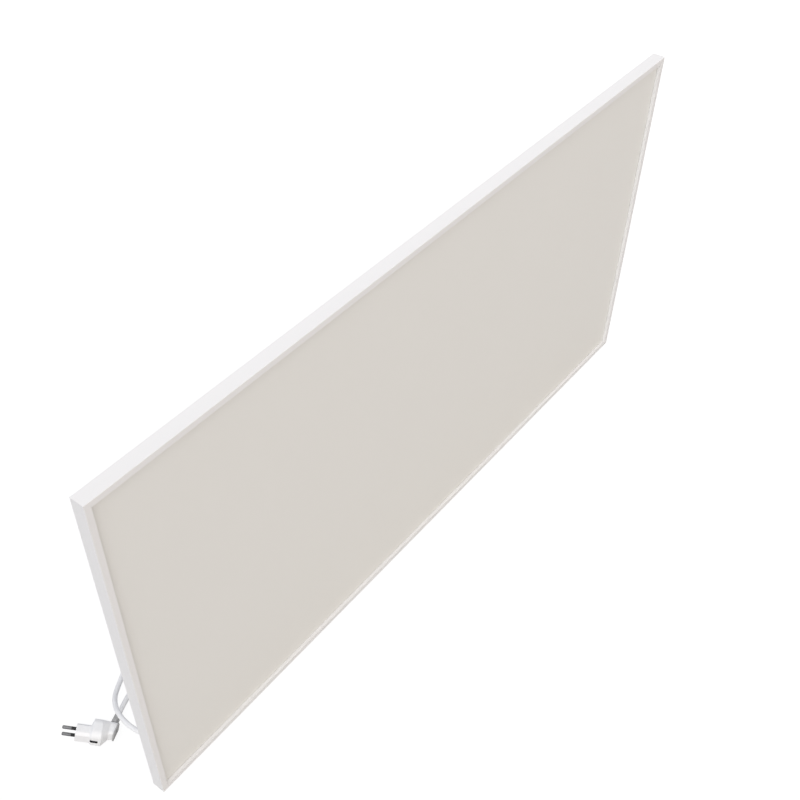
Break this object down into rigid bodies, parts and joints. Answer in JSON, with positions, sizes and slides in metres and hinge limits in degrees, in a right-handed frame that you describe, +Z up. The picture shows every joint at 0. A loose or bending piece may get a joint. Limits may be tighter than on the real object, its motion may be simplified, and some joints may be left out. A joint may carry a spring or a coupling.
{
  "type": "infrared panel heater",
  "caption": "Slim flat electric panel heater: recessed plate in a mitred frame, rear hanger brackets, terminal box and a mains cord with a side-exit plug.",
  "frame": {"origin": "middle of the footprint of the panel with its rear brackets, at the lower edge; the cord, coil and plug are left out", "axes": "+X along the long edge, to the right for a viewer in front; +Y to the rear, towards the wall; +Z up"},
  "size_m": [1.2336, 0.2388, 0.6],
  "materials": {
    "white_paint": "satin",
    "plate_paint": "matte",
    "zinc_steel": "satin",
    "screw_steel": "satin",
    "grey_rubber": "matte",
    "polymer_film": "satin",
    "carbon_ink": "matte",
    "copper": "satin",
    "brass": "satin",
    "foil": "gloss",
    "fibre_board": "matte",
    "cover_sheet": "satin",
    "rivet_aluminium": "satin",
    "cutout_body": "satin",
    "brown_insulation": "satin",
    "blue_insulation": "satin",
    "green_yellow_insulation": "satin",
    "core_insulation": "satin",
    "box_plastic": "satin",
    "block_plastic": "satin",
    "gland_plastic": "satin",
    "cord_sheath": "satin",
    "tie_plastic": "satin",
    "plug_plastic": "satin",
    "relief_plastic": "matte",
    "sleeve_plastic": "satin",
    "plated_pins": "gloss"
  },
  "bodies": {
    "root": {"frame_rail_top": "white_paint", "frame_rail_bottom": "white_paint", "frame_rail_left": "white_paint", "frame_rail_right": "white_paint", "corner_keys": "zinc_steel", "corner_screws": "screw_steel", "cover_screws": "screw_steel", "front_plate": "plate_paint", "plate_gasket": "grey_rubber", "front_insulating_film": "polymer_film", "rear_insulating_film": "polymer_film", "carbon_strips": "carbon_ink", "busbars": "copper", "busbar_terminals": "brass", "reflector_foil": "foil", "insulation_board": "fibre_board", "back_cover": "cover_sheet", "hanger_bracket_lower_left": "zinc_steel", "hanger_bracket_lower_right": "zinc_steel", "hanger_bracket_upper_left": "zinc_steel", "hanger_bracket_upper_right": "zinc_steel", "bracket_rivets": "rivet_aluminium", "bracket_pads": "grey_rubber", "thermal_cutouts": "cutout_body", "live_wire": "brown_insulation", "neutral_wire": "blue_insulation", "earth_wire": "green_yellow_insulation", "cable_grommet": "grey_rubber", "earth_stud": "brass", "earth_nut": "brass", "ring_terminal": "zinc_steel", "terminal_box_base": "box_plastic", "terminal_box_lid": "box_plastic", "lid_screws": "screw_steel", "box_mounting_screws": "screw_steel", "terminal_block": "block_plastic", "terminal_inserts": "brass", "terminal_screws": "screw_steel", "clamp_saddle": "box_plastic", "cord_clamp": "box_plastic", "clamp_screws": "screw_steel", "gland_body": "gland_plastic", "gland_locknut": "gland_plastic", "gland_dome_nut": "gland_plastic", "gland_seal": "grey_rubber", "gland_bend_relief": "gland_plastic", "cord_tail": "cord_sheath", "cord_cores": "core_insulation", "cord_to_coil": "cord_sheath", "cord_coil": "cord_sheath", "cord_to_plug": "cord_sheath", "coil_tie": "tie_plastic", "plug_front_shell": "plug_plastic", "plug_rear_shell": "plug_plastic", "plug_bend_relief": "relief_plastic", "plug_pins": "plated_pins", "plug_earth_strips": "plated_pins", "pin_sleeves": "sleeve_plastic", "plug_shell_screw": "screw_steel"}
  },
  "joints": []
}
